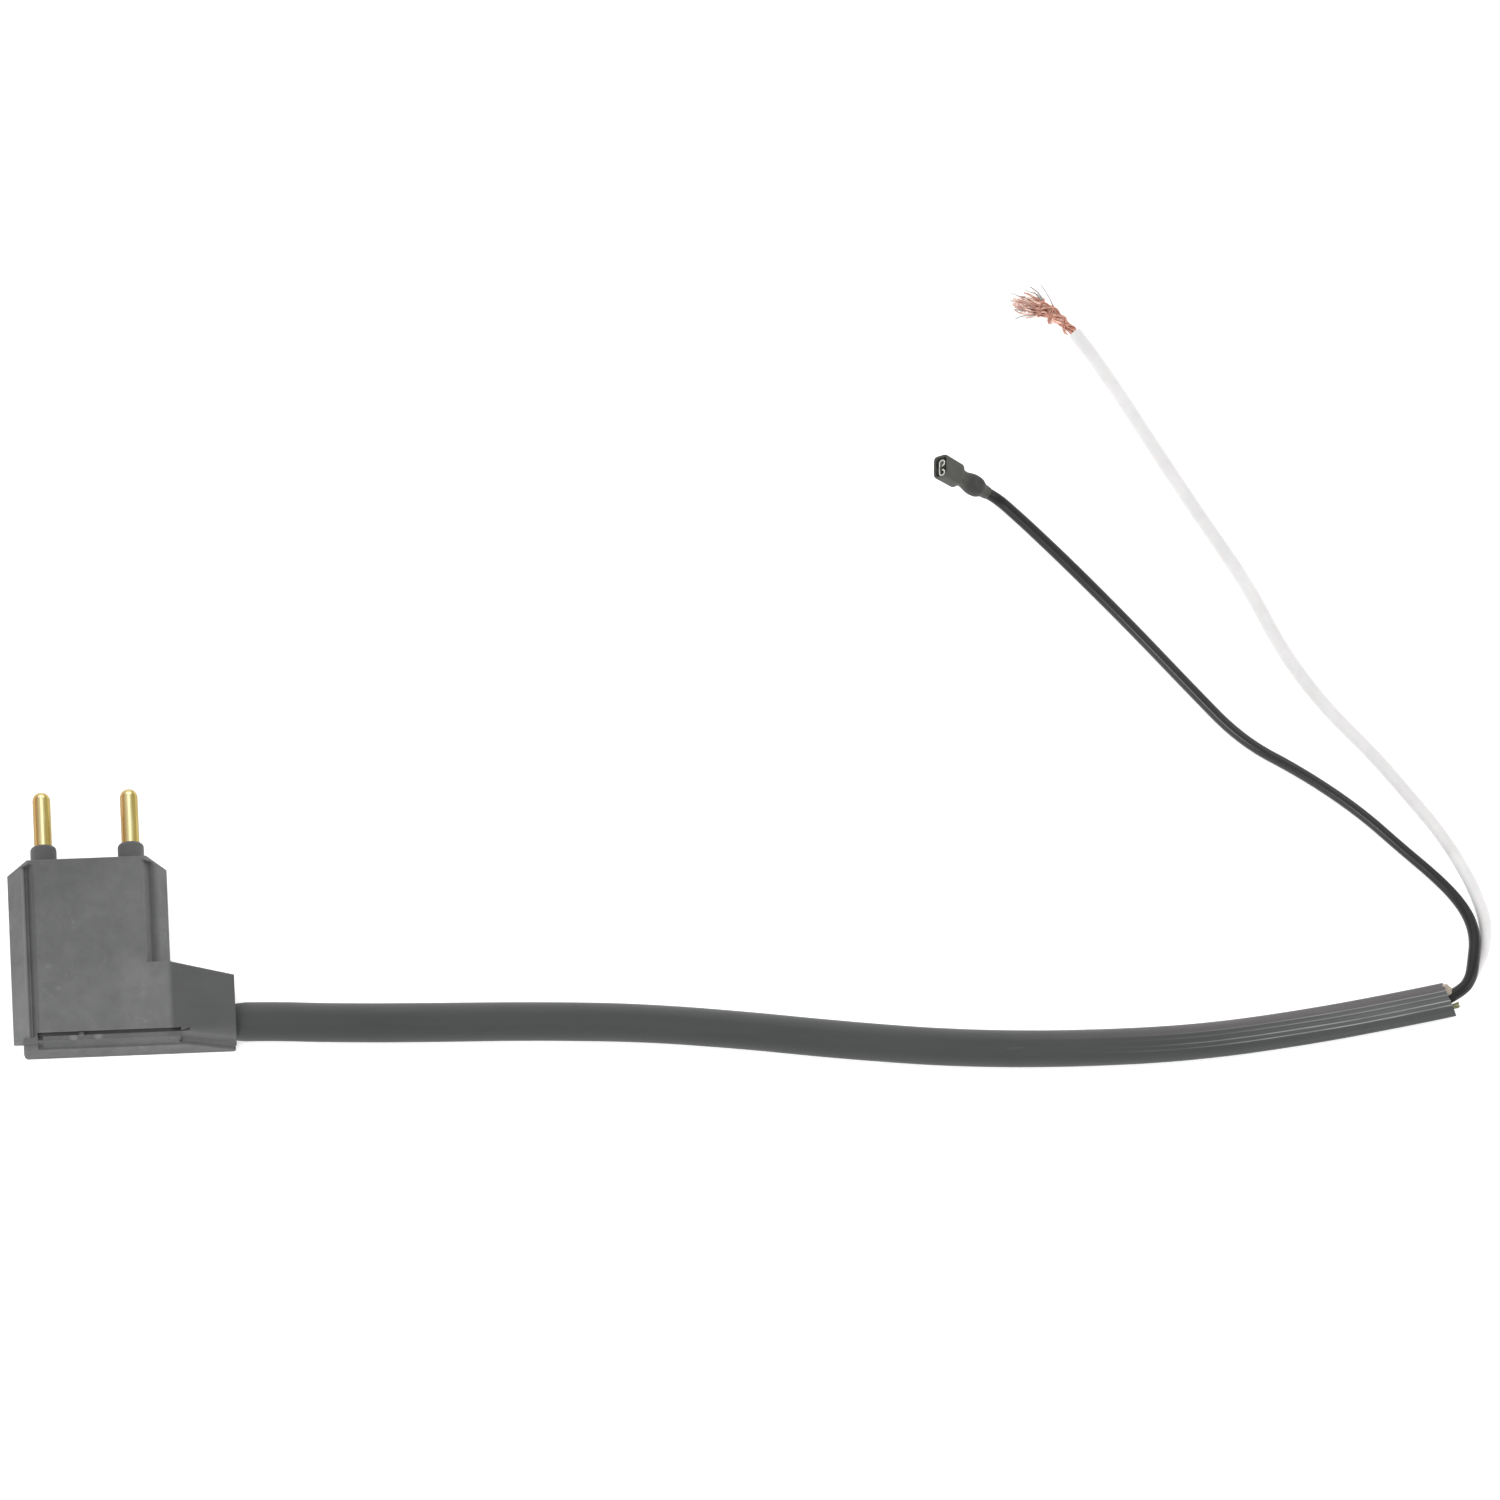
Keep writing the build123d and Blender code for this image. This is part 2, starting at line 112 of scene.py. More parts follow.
class Mat:
    def __init__(self, name):
        self.m = bpy.data.materials.new(name)
        self.m.use_nodes = True
        self.nt = self.m.node_tree
        self.nt.nodes.clear()
        self.out = self.nt.nodes.new("ShaderNodeOutputMaterial")
        self.b = self.nt.nodes.new("ShaderNodeBsdfPrincipled")
        self.join(self.b.outputs["BSDF"], self.out.inputs["Surface"])
        self.at = self.nt.nodes.new("ShaderNodeTexCoord").outputs["Object"]

    def join(self, a, b):
        self.nt.links.new(a, b)

    def set(self, **kw):
        names = {"metallic": "Metallic", "spec": "Specular IOR Level", "ior": "IOR",
                 "sub": "Subsurface Weight", "sub_scale": "Subsurface Scale", "coat": "Coat Weight",
                 "coat_rough": "Coat Roughness", "rough": "Roughness"}
        for k, v in kw.items():
            self.b.inputs[names[k]].default_value = v
        return self

    def scaled(self, sx, sy, sz, vec=None):
        n = self.nt.nodes.new("ShaderNodeMapping")
        n.inputs["Scale"].default_value = (sx, sy, sz)
        self.join(vec or self.at, n.inputs["Vector"])
        return n.outputs["Vector"]

    def noise(self, scale, detail=3.0, rough=0.55, distort=0.0, vec=None):
        n = self.nt.nodes.new("ShaderNodeTexNoise")
        n.inputs["Scale"].default_value = scale
        n.inputs["Detail"].default_value = detail
        n.inputs["Roughness"].default_value = rough
        n.inputs["Distortion"].default_value = distort
        self.join(vec or self.at, n.inputs["Vector"])
        return n.outputs["Fac"]

    def ramp(self, fac, stops, smooth_steps=False):
        n = self.nt.nodes.new("ShaderNodeValToRGB")
        if smooth_steps:
            n.color_ramp.interpolation = "EASE"
        e = n.color_ramp.elements
        while len(e) < len(stops):
            e.new(0.5)
        for i, (p, c) in enumerate(stops):
            e[i].position = p
            e[i].color = (c, c, c, 1) if isinstance(c, (int, float)) else (*c, 1)
        self.join(fac, n.inputs["Fac"])
        return n.outputs["Color"]

    def span(self, val, a, b, lo=0.0, hi=1.0):
        n = self.nt.nodes.new("ShaderNodeMapRange")
        n.interpolation_type = "SMOOTHSTEP"
        n.inputs["From Min"].default_value = a
        n.inputs["From Max"].default_value = b
        n.inputs["To Min"].default_value = lo
        n.inputs["To Max"].default_value = hi
        self.join(val, n.inputs["Value"])
        return n.outputs["Result"]

    def mix(self, fac, a, b, how="MIX"):
        n = self.nt.nodes.new("ShaderNodeMix")
        n.data_type = "RGBA"
        n.blend_type = how
        for val, key in ((fac, "Factor"), (a, "A"), (b, "B")):
            sock = [s for s in n.inputs if s.name == key and s.enabled][0]
            if isinstance(val, (int, float)):
                sock.default_value = val
            elif isinstance(val, tuple):
                sock.default_value = (*val, 1)
            else:
                self.join(val, sock)
        return [s for s in n.outputs if s.enabled][0]

    def math(self, how, a, b=None):
        n = self.nt.nodes.new("ShaderNodeMath")
        n.operation = how
        for i, v in enumerate((a, b)):
            if v is None:
                continue
            if isinstance(v, (int, float)):
                n.inputs[i].default_value = v
            else:
                self.join(v, n.inputs[i])
        return n.outputs[0]

    def axes(self):
        n = self.nt.nodes.new("ShaderNodeSeparateXYZ")
        self.join(self.at, n.inputs[0])
        return n.outputs[0], n.outputs[1], n.outputs[2]

    def dot(self, origin, way):
        """Distance from a point, measured along a direction."""
        n = self.nt.nodes.new("ShaderNodeVectorMath")
        n.operation = "SUBTRACT"
        n.inputs[1].default_value = tuple(origin)
        self.join(self.at, n.inputs[0])
        d = self.nt.nodes.new("ShaderNodeVectorMath")
        d.operation = "DOT_PRODUCT"
        d.inputs[1].default_value = tuple(way)
        self.join(n.outputs["Vector"], d.inputs[0])
        return d.outputs["Value"]

    def near(self, origin, r0, r1):
        """1 inside r0 of a point, 0 beyond r1."""
        n = self.nt.nodes.new("ShaderNodeVectorMath")
        n.operation = "DISTANCE"
        n.inputs[1].default_value = tuple(origin)
        self.join(self.at, n.inputs[0])
        return self.span(n.outputs["Value"], r0, r1, 1.0, 0.0)

    def times(self, *vals):
        out = vals[0]
        for v in vals[1:]:
            out = self.math("MULTIPLY", out, v)
        return out

    def bump(self, height, dist, strength=1.0, under=None):
        n = self.nt.nodes.new("ShaderNodeBump")
        n.inputs["Distance"].default_value = dist
        n.inputs["Strength"].default_value = strength
        self.join(height, n.inputs["Height"])
        if under is not None:
            self.join(under, n.inputs["Normal"])
        return n.outputs["Normal"]

    def color(self, sock):
        self.join(sock, self.b.inputs["Base Color"])

    def rough(self, sock):
        self.join(sock, self.b.inputs["Roughness"])

    def normal(self, sock):
        self.join(sock, self.b.inputs["Normal"])


def specks(m, c, pale, amount=0.5):
    """Cloudy handling marks, a few soft pale specks and short scuffs."""
    c = m.mix(1.0, c, m.ramp(m.noise(230, 4, 0.62, 0.6), [(0.28, 0.9), (0.5, 1.0), (0.74, 1.1)]), "MULTIPLY")
    fine = m.ramp(m.noise(520, 3, 0.5), [(0.62, 0.0), (0.8, 1.0)])
    where = m.ramp(m.noise(95, 3, 0.6), [(0.46, 0.0), (0.64, 1.0)])
    c = m.mix(m.times(fine, where, amount), c, pale)
    scuff = m.ramp(m.noise(300, 3, 0.6, 1.2, vec=m.scaled(1.0, 0.35, 1.0)), [(0.66, 0.0), (0.8, 1.0)])
    return m.mix(m.times(scuff, amount * 0.5), c, pale)


def plug_finish(m):
    m.rough(m.ramp(m.noise(300, 3, 0.6), [(0.3, 0.5), (0.75, 0.64)]))
    fine = m.bump(m.noise(5200, 2, 0.6), 0.00004, 0.35)
    m.normal(m.bump(m.noise(420, 3, 0.6), 0.00012, 0.22, fine))
    return m.m


def plug_shell_grey():
    m = Mat("plug_grey").set(spec=0.3)
    x, y, z = m.axes()
    cloud = m.noise(70, 4, 0.6, 0.4)
    c = m.ramp(cloud, [(0.3, (0.106, 0.107, 0.107)), (0.7, (0.142, 0.143, 0.143))])
    c = specks(m, c, (0.25, 0.25, 0.246), 0.42)
    c = m.mix(1.0, c, m.span(m.math("SUBTRACT", x, y), -0.045, 0.03, 0.85, 1.09), "MULTIPLY")
    # painted shade lies in the two grooves, more in the left one; a lighter painted strip on the outer wall of each
    # groove stands in for light
    lx = P(0, 0, 0).x
    high = m.times(m.span(y, 0.0105, 0.0113, 1.0, 0.0), m.span(z, 0.0088, 0.0096))
    low = m.times(high, m.span(y, -0.013, -0.0122))
    # painted light on the outer wall of each groove, left then right
    painted_light_strip = m.times(m.span(x, lx + 0.0028, lx + 0.00335), m.span(x, lx + 0.00355, lx + 0.00405, 1.0, 0.0))
    c = m.mix(m.times(painted_light_strip, high, 0.55), c, (0.235, 0.237, 0.237))
    painted_light_strip = m.times(m.span(x, lx + 0.0302, lx + 0.0306), m.span(x, lx + 0.03095, lx + 0.03125, 1.0, 0.0))
    c = m.mix(m.times(painted_light_strip, low, 0.36), c, (0.2, 0.202, 0.202))
    # painted shade in each groove, left then right
    painted_groove_shade = m.times(m.span(x, lx + 0.00425, lx + 0.0046), m.span(x, lx + 0.00515, lx + 0.00635, 1.0, 0.0))
    c = m.mix(m.times(painted_groove_shade, high, 0.66), c, (0.03, 0.031, 0.031))
    painted_groove_shade = m.times(m.span(x, lx + 0.03125, lx + 0.03165), m.span(x, lx + 0.0323, lx + 0.0335, 1.0, 0.0))
    c = m.mix(m.times(painted_groove_shade, low, 0.48), c, (0.03, 0.031, 0.031))
    # the cord-exit block and the pin collars are darker
    block = m.times(m.span(x, 0.0097, 0.0111), m.span(y, -0.0134, -0.0124, 1.0, 0.0))
    dark = m.ramp(cloud, [(0.3, (0.07, 0.071, 0.071)), (0.7, (0.086, 0.087, 0.087))])
    c = m.mix(block, c, dark)
    collar = m.ramp(cloud, [(0.3, (0.082, 0.083, 0.083)), (0.7, (0.1, 0.101, 0.101))])
    c = m.mix(m.span(y, 0.01195, 0.0123), c, collar)
    m.color(c)
    return plug_finish(m)


def cover_grey():
    m = Mat("cover_grey").set(spec=0.3)
    x, y, z = m.axes()
    cloud = m.noise(90, 4, 0.6, 0.4)
    c = m.ramp(cloud, [(0.3, (0.073, 0.074, 0.073)), (0.7, (0.099, 0.1, 0.099))])
    front = m.times(m.span(y, -0.02952, -0.02944), m.span(y, -0.02923, -0.0291, 1.0, 0.0))
    c = m.mix(m.times(front, 0.8), c, m.ramp(cloud, [(0.3, (0.049, 0.05, 0.05)), (0.7, (0.066, 0.067, 0.067))]))
    for at in ((13.3, -0.4, 11.7), (18.7, -0.4, 11.7)):
        c = m.mix(m.times(m.near(P(*at), 0.0004, 0.0013), 0.5), c, (0.22, 0.22, 0.218))
    m.color(specks(m, c, (0.25, 0.25, 0.248), 0.4))
    return plug_finish(m)


mat_plug = plug_shell_grey()
mat_cover = cover_grey()


def brass(name, middle):
    """Brass with a painted highlight along the top and painted shade on both flanks, brown on one flank and olive on
    the other.
    """
    m = Mat(name).set(metallic=1.0)
    x, y, z = m.axes()
    wob = m.math("MULTIPLY", m.math("SUBTRACT", m.noise(260, 3, 0.6, vec=m.scaled(1, 0.3, 1)), 0.5), 0.0007)
    off = m.math("ADD", m.math("SUBTRACT", x, middle), wob)
    c = m.ramp(m.noise(190, 3, 0.6, vec=m.scaled(1, 0.2, 1)),
               [(0.3, (0.96, 0.84, 0.43)), (0.7, (1.0, 0.92, 0.56))])
    # painted shade on both flanks around a brighter middle that stands in for the highlight
    c = m.mix(m.times(m.span(off, -0.0013, -0.0001, 1.0, 0.0), 0.95), c, (0.46, 0.26, 0.085))
    c = m.mix(m.times(m.span(off, -0.0019, -0.0014, 1.0, 0.0), 0.7), c, (0.22, 0.17, 0.075))
    c = m.mix(m.times(m.span(off, 0.0002, 0.0009), 0.95), c, (0.48, 0.37, 0.1))
    c = m.mix(m.times(m.span(off, 0.0013, 0.0018), 0.7), c, (0.24, 0.17, 0.05))
    # the rounded tips are dull
    c = m.mix(m.times(m.span(y, 0.0278, 0.0294), 0.75), c, (0.40, 0.30, 0.1))
    c = m.mix(m.times(m.ramp(m.noise(420, 4, 0.65, 0.5), [(0.6, 0.0), (0.78, 1.0)]), 0.2), c, (0.45, 0.27, 0.1))
    m.color(c)
    r = m.ramp(m.noise(300, 3, 0.6, vec=m.scaled(1, 0.2, 1)), [(0.3, 0.2), (0.75, 0.3)])
    m.rough(m.math("ADD", r, m.times(m.span(y, 0.0278, 0.0294), 0.28)))
    m.normal(m.bump(m.noise(900, 2, 0.5, vec=m.scaled(1, 0.05, 1)), 0.00001, 0.1))
    return m.m


def steel(name, lo, hi):
    m = Mat(name).set(metallic=1.0)
    m.color(m.ramp(m.noise(900, 3, 0.6), [(0.3, lo), (0.7, hi)]))
    m.rough(m.ramp(m.noise(700, 3, 0.6), [(0.3, 0.28), (0.75, 0.45)]))
    m.normal(m.bump(m.noise(3000, 2, 0.5), 0.00002, 0.25))
    return m.m


def pvc(name, lo, hi, r0, r1, scale=160, spec=0.45, sub=0.0, lengthwise=None):
    m = Mat(name).set(spec=spec)
    if sub:
        m.set(sub=sub, sub_scale=0.0012)
    m.color(m.ramp(m.noise(scale, 4, 0.6, 0.2), [(0.3, lo), (0.7, hi)]))
    m.rough(m.ramp(m.noise(scale * 2.3, 3, 0.6), [(0.3, r0), (0.75, r1)]))
    fine = m.bump(m.noise(4200, 2, 0.6), 0.00003, 0.3)
    m.normal(m.bump(m.noise(380, 3, 0.6), 0.0001, 0.18, fine))
    return m.m


def lead_black():
    """Glossy in the middle of the lead, dull towards both of its ends."""
    m = Mat("lead_black").set(spec=0.5)
    x, y, z = m.axes()
    m.color(m.ramp(m.noise(160, 4, 0.6, 0.2), [(0.3, (0.0065, 0.0065, 0.0065)), (0.7, (0.0105, 0.0105, 0.0105))]))
    r = m.ramp(m.noise(370, 3, 0.6), [(0.3, 0.14), (0.75, 0.19)])
    dull = m.math("ADD", m.span(x, P(236, 0, 0).x, P(256, 0, 0).x, 0.2, 0.0),
                  m.span(y, P(0, 26, 0).y, P(0, 44, 0).y, 0.18, 0.0))
    m.rough(m.math("ADD", r, dull))
    m.join(m.math("ADD", m.math("MULTIPLY", dull, -0.8), 0.5), m.b.inputs["Specular IOR Level"])
    fine = m.bump(m.noise(4200, 2, 0.6), 0.00003, 0.3)
    m.normal(m.bump(m.noise(380, 3, 0.6), 0.0001, 0.18, fine))
    return m.m


def sheath_pvc():
    m = Mat("sheath_grey").set(spec=0.25)
    uv = m.nt.nodes.new("ShaderNodeUVMap")
    uv.uv_map = "wrap"
    sep = m.nt.nodes.new("ShaderNodeSeparateXYZ")
    m.join(uv.outputs["UV"], sep.inputs[0])
    far = sep.outputs[0]                    # metres from the sheath's hidden start
    turn = m.math("FRACT", m.math("ADD", sep.outputs[1], 0.5))
    deg = m.math("MULTIPLY", m.math("SUBTRACT", turn, 0.5), 360.0)   # from the top, north positive
    cloud = m.noise(110, 4, 0.6, 0.3, vec=m.scaled(0.25, 1, 1))
    near_c = m.ramp(cloud, [(0.3, (0.048, 0.0503, 0.0494)), (0.7, (0.0597, 0.062, 0.061))])
    # painted light on the upper north side and painted shade on the upper south side, near the plug
    near_c = m.mix(m.times(m.span(deg, 0.0, 45.0), 0.75), near_c, (0.09, 0.092, 0.091))
    near_c = m.mix(m.times(m.span(deg, -50.0, -15.0, 1.0, 0.0), 0.6), near_c, (0.043, 0.0455, 0.0445))
    strip = m.noise(130, 4, 0.6, 0.3, vec=m.scaled(0.12, 1, 1))
    mid = m.ramp(strip, [(0.3, (0.082, 0.087, 0.0855)), (0.7, (0.104, 0.107, 0.106))])
    mid = m.mix(1.0, mid, m.span(far, 0.212, 0.272, 0.66, 1.12), "MULTIPLY")
    # painted light on the north side and painted shade on the south side, further along
    top = m.ramp(strip, [(0.3, (0.096, 0.091, 0.093)), (0.7, (0.12, 0.111, 0.114))])
    low = m.ramp(strip, [(0.3, (0.0425, 0.0465, 0.045)), (0.7, (0.052, 0.056, 0.0545))])
    far_c = m.mix(m.span(deg, 9.0, 15.0), mid, top)
    far_c = m.mix(m.span(deg, -41.0, -36.0, 1.0, 0.0), far_c, low)
    c = m.mix(m.span(far, 0.165, 0.245), near_c, far_c)
    # pale scuffs along the top, before the ridges begin to show
    scuff = m.ramp(m.noise(150, 4, 0.65, 0.4, vec=m.scaled(0.1, 1, 1)), [(0.54, 0.0), (0.65, 1.0)])
    c = m.mix(m.times(scuff, m.span(far, 0.145, 0.18), m.span(far, 0.235, 0.255, 1.0, 0.0), m.span(deg, -34.0, -14.0),
                      m.span(deg, 12.0, 28.0, 1.0, 0.0), 0.7), c, (0.18, 0.182, 0.181))
    # painted highlights on the crests of the ridges, with painted shade in the valleys beside them
    wob = m.math("MULTIPLY", m.math("SUBTRACT", m.noise(38, 3, 0.6), 0.5), 5.0)
    shown = m.span(far, 0.198, 0.258)
    for at, wide, much in ((13.0, 2.8, 0.6), (-3.0, 2.6, 0.65), (-22.0, 2.9, 0.9), (-37.0, 2.8, 0.8)):
        gap = m.math("ABSOLUTE", m.math("SUBTRACT", m.math("ADD", deg, wob), at))
        whole = m.ramp(m.noise(26 + abs(at) * 0.4, 3, 0.6, vec=m.scaled(1.0, 0.2, 0.2)), [(0.36, 0.25), (0.58, 1.0)])
        c = m.mix(m.times(m.span(gap, 3.5, 9.0, 1.0, 0.0), shown, 0.25), c, (0.064, 0.064, 0.065))
        c = m.mix(m.times(m.span(gap, 0.4, wide, 1.0, 0.0), shown, whole, much), c, (0.39, 0.383, 0.385))
    m.color(c)
    m.rough(m.ramp(m.noise(260, 3, 0.6, vec=m.scaled(0.3, 1, 1)), [(0.3, 0.45), (0.75, 0.6)]))
    fine = m.bump(m.noise(3600, 2, 0.6), 0.00003, 0.3)
    m.normal(m.bump(m.noise(520, 3, 0.6, vec=m.scaled(0.1, 1, 1)), 0.0001, 0.25, fine))
    return m.m


def copper(name, lo, mid, hi):
    m = Mat(name).set(metallic=1.0)
    x, y, z = m.axes()
    c = m.ramp(m.noise(620, 4, 0.6, 0.4), [(0.28, lo), (0.5, mid), (0.74, hi)])
    pale = m.span(x, P(227.0, 0, 0).x, P(234.0, 0, 0).x, 1.0, 0.0)
    m.color(m.mix(m.times(pale, 0.4), c, (0.93, 0.74, 0.67)))
    m.rough(m.ramp(m.noise(900, 2, 0.6), [(0.3, 0.3), (0.75, 0.5)]))
    m.normal(m.bump(m.noise(6000, 2, 0.5), 0.00002, 0.2))
    return m.m


def sleeve_olive(tail, axis):
    m = Mat("sleeve_olive").set(spec=0.28)
    d = m.dot(tail, axis)
    c = m.ramp(m.noise(220, 4, 0.6, 0.2), [(0.3, (0.06, 0.062, 0.054)), (0.7, (0.08, 0.082, 0.072))])
    bulge = m.times(m.span(d, 0.0014, 0.003), m.span(d, 0.0056, 0.0074, 1.0, 0.0))
    c = m.mix(m.times(bulge, 0.85), c, (0.037, 0.038, 0.035))
    c = m.mix(m.times(m.span(d, 0.0002, 0.0018, 1.0, 0.0), 0.4), c, (0.041, 0.042, 0.039))
    m.color(c)
    m.rough(m.ramp(m.noise(500, 3, 0.6), [(0.3, 0.48), (0.75, 0.62)]))
    fine = m.bump(m.noise(4200, 2, 0.6), 0.00003, 0.3)
    m.normal(m.bump(m.noise(420, 3, 0.6), 0.0001, 0.25, fine))
    return m.m


def yarn(name, lo, hi):
    m = Mat(name).set(spec=0.15)
    m.color(m.ramp(m.noise(1400, 3, 0.6, vec=m.scaled(0.3, 1, 1)), [(0.3, lo), (0.7, hi)]))
    m.rough(m.ramp(m.noise(900, 2, 0.6), [(0.3, 0.8), (0.75, 0.95)]))
    m.normal(m.bump(m.noise(5200, 2, 0.6, vec=m.scaled(0.2, 1, 1)), 0.00006, 0.6))
    return m.m


mat_pins = {"pin_left": brass("pin_brass", P(8.3, 0, 0).x), "pin_right": brass("pin_brass_right", P(27.5, 0, 0).x)}
mat_screw = steel("screw_steel", (0.5, 0.5, 0.49), (0.68, 0.68, 0.66))
mat_tin = steel("tinned", (0.66, 0.66, 0.62), (0.88, 0.88, 0.83))
mat_grip = pvc("grip_nylon", (0.3, 0.3, 0.29), (0.4, 0.4, 0.38), 0.5, 0.65)
mat_sheath = sheath_pvc()
mat_black = lead_black()
mat_white = pvc("lead_white", (0.66, 0.653, 0.653), (0.745, 0.739, 0.739), 0.45, 0.56, spec=0.3, sub=0.1)
TAIL = P(219.15, 120.35, 3.0)
AXIS = Vector((-0.7753, 0.3203, 0.5443)).normalized()
mat_sleeve = sleeve_olive(TAIL, AXIS)
mat_coppers = [copper("copper", (0.46, 0.2, 0.15), (0.64, 0.36, 0.28), (0.8, 0.55, 0.46)),
               copper("copper_dark", (0.3, 0.11, 0.08), (0.45, 0.2, 0.15), (0.58, 0.3, 0.235)),
               copper("copper_pale", (0.76, 0.52, 0.42), (0.86, 0.66, 0.56), (0.92, 0.78, 0.7)),
               yarn("hair_grey", (0.27, 0.255, 0.25), (0.4, 0.38, 0.37))]
mat_beige = yarn("filler_beige", (0.34, 0.285, 0.23), (0.5, 0.43, 0.355))
mat_green = yarn("filler_green", (0.26, 0.265, 0.15), (0.38, 0.385, 0.225))


def dress(ob, *mats):
    ob.data.materials.clear()
    for m in mats:
        ob.data.materials.append(m)


for n, m in (("plug_shell", mat_plug), ("rear_cover", mat_cover), ("pin_left", mat_pins["pin_left"]),
             ("pin_right", mat_pins["pin_right"]), ("terminal_screws", mat_screw), ("cord_grip", mat_grip),
             ("black_core_tail", mat_black), ("white_core_tail", mat_white), ("receptacle", mat_tin)):
    dress(nodes[n], m)

# ------------------------------------------------------------------ cord routes
SHEATH = [P(*p) for p in (
    (38.0, 4.25, 4.25), (54.0, 4.25, 4.25), (71.5, 3.0, 4.2), (91.5, 2.3, 4.1), (114.0, 1.7, 4.05),
    (137.5, 0.38, 4.05), (160.0, -2.32, 4.05), (183.0, -5.72, 4.05), (207.5, -8.62, 4.05),
    (233.0, -9.77, 4.05), (259.0, -9.47, 4.05), (282.9, -6.97, 4.05), (302.3, -4.07, 4.05),
    (315.15, -1.81, 4.05))]
BLACK = [P(*p) for p in (
    (312.6, -2.9, 5.05), (318.07, -0.38, 5.15), (320.2, 2.8, 5.0), (320.9, 7.12, 4.5),
    (321.54, 11.96, 3.7), (320.55, 17.32, 2.8), (317.66, 22.61, 2.0), (313.04, 28.07, 1.5),
    (306.31, 34.63, 1.3), (297.34, 43.73, 1.3), (285.4, 53.01, 1.3), (272.36, 61.02, 1.3),
    (261.35, 74.05, 1.3), (249.61, 88.25, 1.3), (237.56, 102.16, 1.3), (228.37, 112.27, 1.3),
    (224.94, 115.85, 1.33), (221.48, 119.39, 1.365), (217.99, 120.83, 3.82), (214.96, 122.08, 5.94))]
WHITE = [P(*p) for p in (
    (312.6, -1.9, 2.5), (317.85, 0.58, 2.3), (319.9, 3.29, 2.05), (321.85, 6.68, 1.8),
    (323.5, 11.0, 1.6), (324.1, 16.43, 1.5), (322.56, 22.57, 1.45), (319.47, 29.86, 1.45),
    (314.65, 38.34, 1.45), (308.5, 46.72, 1.45), (301.14, 56.52, 1.45), (290.84, 68.19, 1.45),
    (282.22, 81.38, 1.45), (275.34, 97.15, 1.45), (265.03, 114.35, 1.45), (254.59, 132.88, 1.45),
    (245.45, 149.3, 1.45), (240.0, 157.4, 1.6))]


def spline(name, routes, res=12, radius=0.0, sides=4, mats=(), kinds=None, thick=None):
    cu = bpy.data.curves.new(name, "CURVE")
    cu.dimensions = "3D"
    for m in mats:
        cu.materials.append(m)
    for i, pts in enumerate(routes):
        sp = cu.splines.new("NURBS")
        sp.points.add(len(pts) - 1)
        for q, p in zip(sp.points, pts):
            q.co = (p.x, p.y, p.z, 1.0)
            q.radius = thick[i] if thick else 1.0
        sp.material_index = kinds[i] if kinds else 0
        sp.order_u = 3
        sp.use_endpoint_u = True
        sp.use_smooth = True
    cu.resolution_u = res
    cu.bevel_depth = radius
    cu.bevel_resolution = sides
    cu.use_fill_caps = True
    return link(bpy.data.objects.new(name, cu))


def line_of(pts, res=12):
    ob = spline("line", [pts], res)
    me = bpy.data.meshes.new_from_object(ob)
    out = [v.co.copy() for v in me.vertices]
    cu = ob.data
    bpy.data.objects.remove(ob)
    bpy.data.curves.remove(cu)
    bpy.data.meshes.remove(me)
    return out


def loft(name, rings, mats, start_cap=True, end_cap=True, pick=None, far=None):
    """Closed skin through rings of equal count; pick(i) gives a band's material."""
    n = len(rings[0])
    verts = [tuple(p) for r in rings for p in r]
    faces, which = [], []
    for i in range(len(rings) - 1):
        for j in range(n):
            k = (j + 1) % n
            faces.append((i * n + j, i * n + k, (i + 1) * n + k, (i + 1) * n + j))
            which.append(pick(i) if pick else 0)
    for on, i in ((start_cap, 0), (end_cap, len(rings) - 1)):
        if not on:
            continue
        c = sum((Vector(p) for p in rings[i]), Vector()) / n
        verts.append(tuple(c))
        for j in range(n):
            a, b = i * n + j, i * n + (j + 1) % n
            faces.append((b, a, len(verts) - 1) if i == 0 else (a, b, len(verts) - 1))
            which.append(pick(max(0, i - 1)) if pick else 0)
    me = bpy.data.meshes.new(name)
    me.from_pydata(verts, [], faces)
    for m in mats:
        me.materials.append(m)
    for p, w in zip(me.polygons, which):
        p.material_index = w
        p.use_smooth = True
    if far is not None:
        # how far along and how far around each corner lies
        uv = me.uv_layers.new(name="wrap")
        for f, p in enumerate(me.polygons):
            i, j = divmod(f, n)
            wraps = (j, j + 1, j + 1, j)
            for k, li in enumerate(p.loop_indices):
                if i < len(rings) - 1:
                    uv.data[li].uv = (far[i if k < 2 else i + 1], wraps[k] / n)
                else:
                    uv.data[li].uv = (far[0] if i == len(rings) - 1 else far[-1], 0.5)
    me.validate()
    me.update()
    return link(bpy.data.objects.new(name, me))


def frames(path):
    """Tangent, side (left of travel) and upward direction at each point of a line."""
    out = []
    for i, p in enumerate(path):
        t = (path[min(i + 1, len(path) - 1)] - path[max(i - 1, 0)]).normalized()
        s = upward.cross(t).normalized()
        out.append((p, t, s, t.cross(s)))
    return out


def along(path):
    d = [0.0]
    for a, b in zip(path, path[1:]):
        d.append(d[-1] + (b - a).length)
    return d


# ------------------------------------------------------------------ sheath
SIDES = 96
# outline of the pinched cut end: angle from the top towards the left of travel, radius factor
RIDGES = [(-180, 0.985), (-128, 0.985), (-95, 0.99), (-76, 0.93), (-58, 0.93), (-46, 0.96), (-37, 1.035),
          (-31, 0.975), (-27, 0.975), (-22, 1.03), (-16, 0.965), (-8, 0.965), (-3, 1.02),
          (3, 0.965), (8, 0.975), (13, 1.035), (19, 0.985), (40, 0.96), (66, 1.0), (95, 0.985),
          (130, 0.985), (180, 0.985)]


def ridge(a):
    for (a0, r0), (a1, r1) in zip(RIDGES, RIDGES[1:]):
        if a0 <= a <= a1:
            return r0 + (r1 - r0) * smooth(a0, a1, a)
    return 1.0


